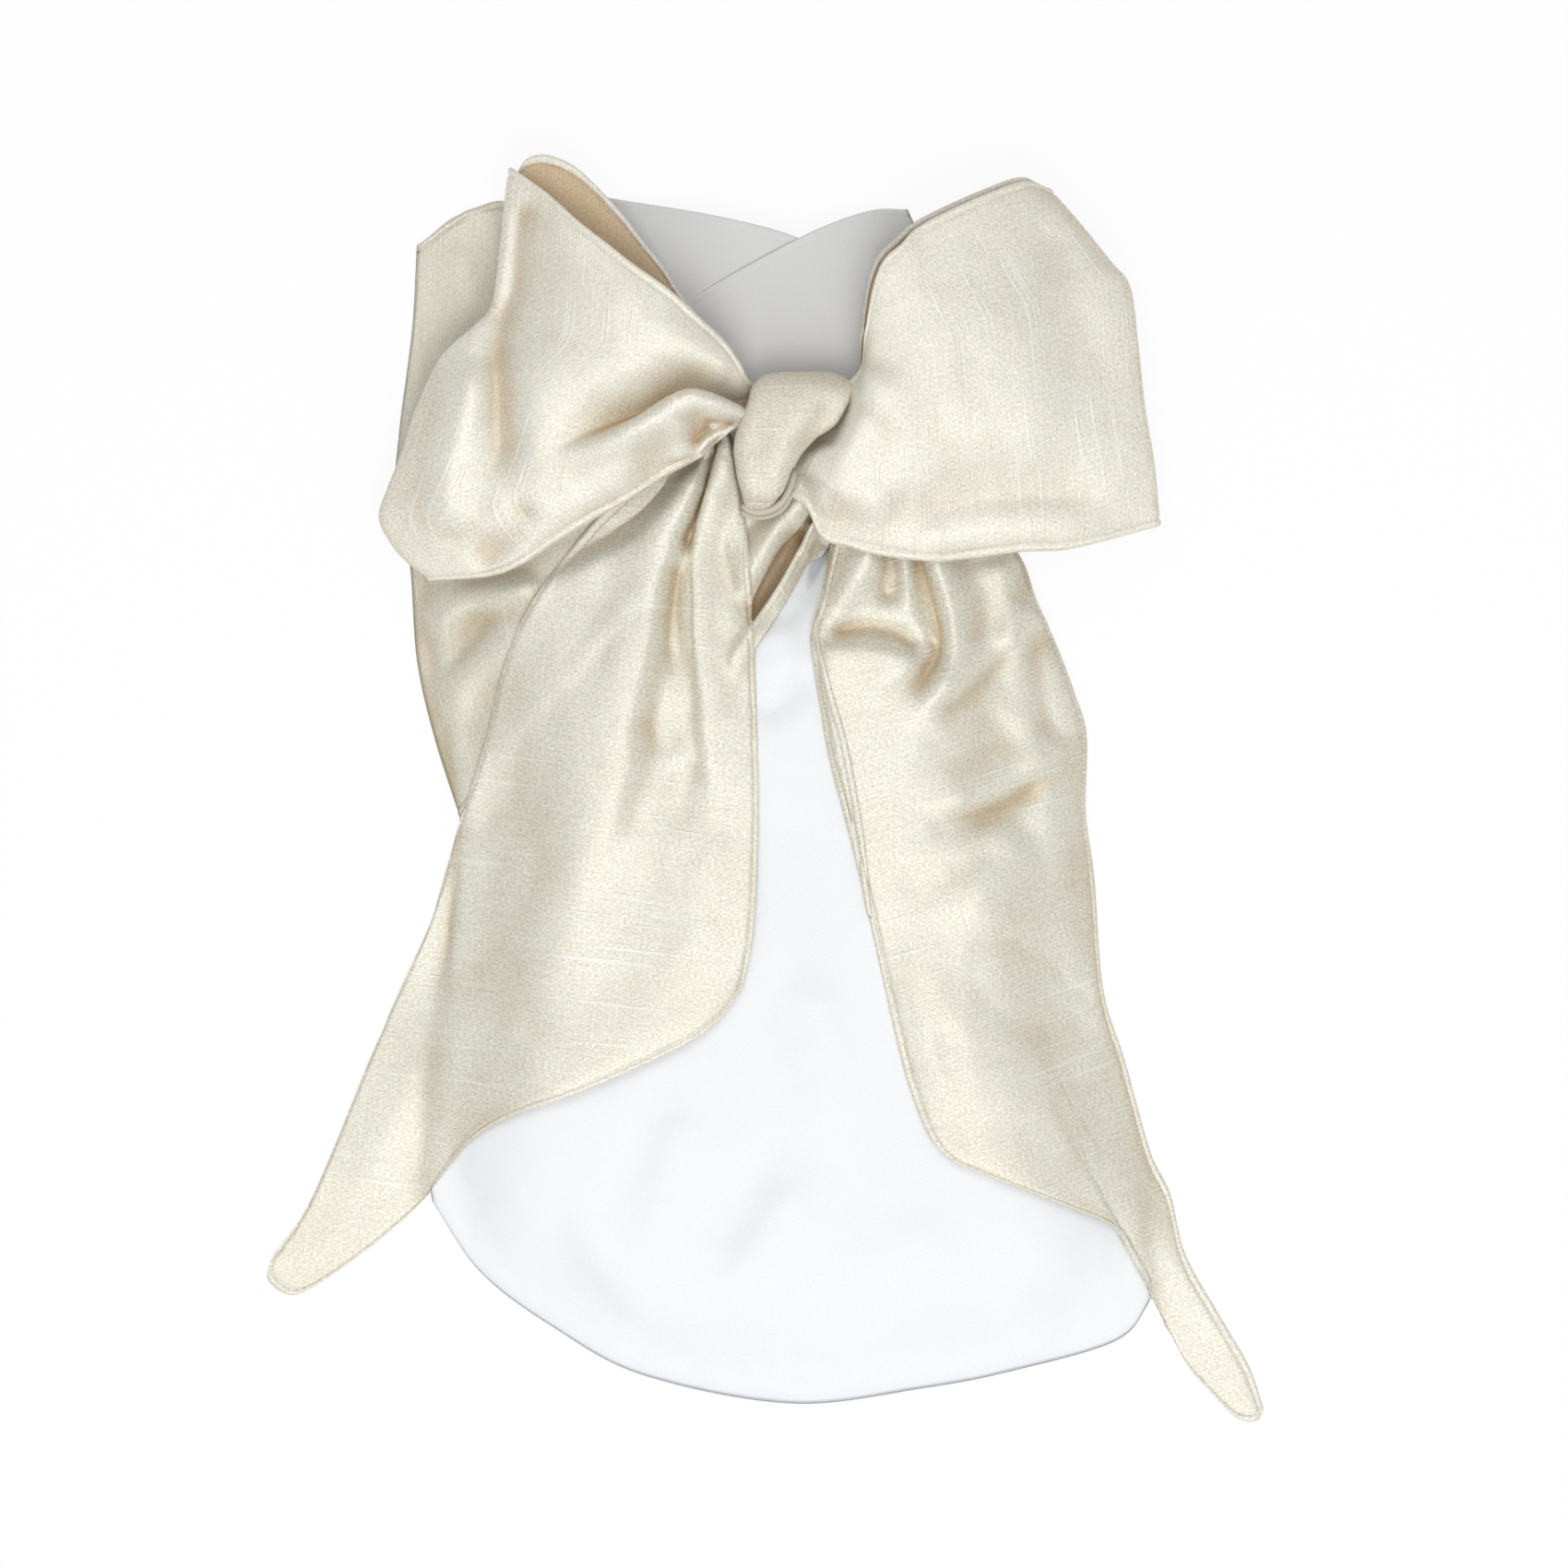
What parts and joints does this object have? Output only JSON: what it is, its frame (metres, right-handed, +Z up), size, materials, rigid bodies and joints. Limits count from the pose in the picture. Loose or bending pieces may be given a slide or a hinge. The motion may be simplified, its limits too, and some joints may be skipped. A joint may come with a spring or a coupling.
{
  "type": "knotted headband",
  "caption": "Champagne silk sash tied in a loose bow with long tails round a soft white jersey head cover, laid flat with its mouth open at the top.",
  "frame": {"origin": "on the table plane, straight below the middle of the knot, on the underside of the wide band", "axes": "+X to the wearer's left as seen from the front of the laid-out bow (right in plan), +Y from the knot towards the open mouth of the head cover, +Z up off the table"},
  "size_m": [0.393, 0.4985, 0.057],
  "materials": {
    "silk": "slubbed satin weave with a soft sheen",
    "jersey": "matt fine knit"
  },
  "bodies": {
    "wrap": {"band_back": "silk", "band_left_side": "silk", "band_right_side": "silk", "cap_back_panel": "jersey", "cap_front_panel": "jersey", "crossover_under": "jersey", "crossover_over": "jersey", "knot_wrap": "silk", "bow_core": "silk", "half_knot": "silk", "left_tail_root": "silk", "right_tail_root": "silk"},
    "left_loop": {"left_loop_front": "silk", "left_loop_back": "silk"},
    "right_loop": {"right_loop_front": "silk", "right_loop_back": "silk"},
    "left_tail": {"left_tail": "silk"},
    "right_tail": {"right_tail": "silk"}
  },
  "joints": [
    {"name": "left_loop_lift", "type": "hinge", "parent": "wrap", "child": "left_loop", "pos_m": [-0.021, 0.012, 0.046], "axis": [0, 1, 0], "range_deg": [0, 45]},
    {"name": "right_loop_lift", "type": "hinge", "parent": "wrap", "child": "right_loop", "pos_m": [0.001, -0.022, 0.046], "axis": [-0.3618, -0.9323, 0], "range_deg": [0, 45]},
    {"name": "left_tail_lift", "type": "hinge", "parent": "wrap", "child": "left_tail", "pos_m": [-0.009, -0.031, 0.0235], "axis": [-0.948, -0.3182, 0], "range_deg": [0, 80]},
    {"name": "right_tail_lift", "type": "hinge", "parent": "wrap", "child": "right_tail", "pos_m": [0.055, -0.051, 0.0235], "axis": [-1, 0, 0], "range_deg": [0, 80]}
  ]
}
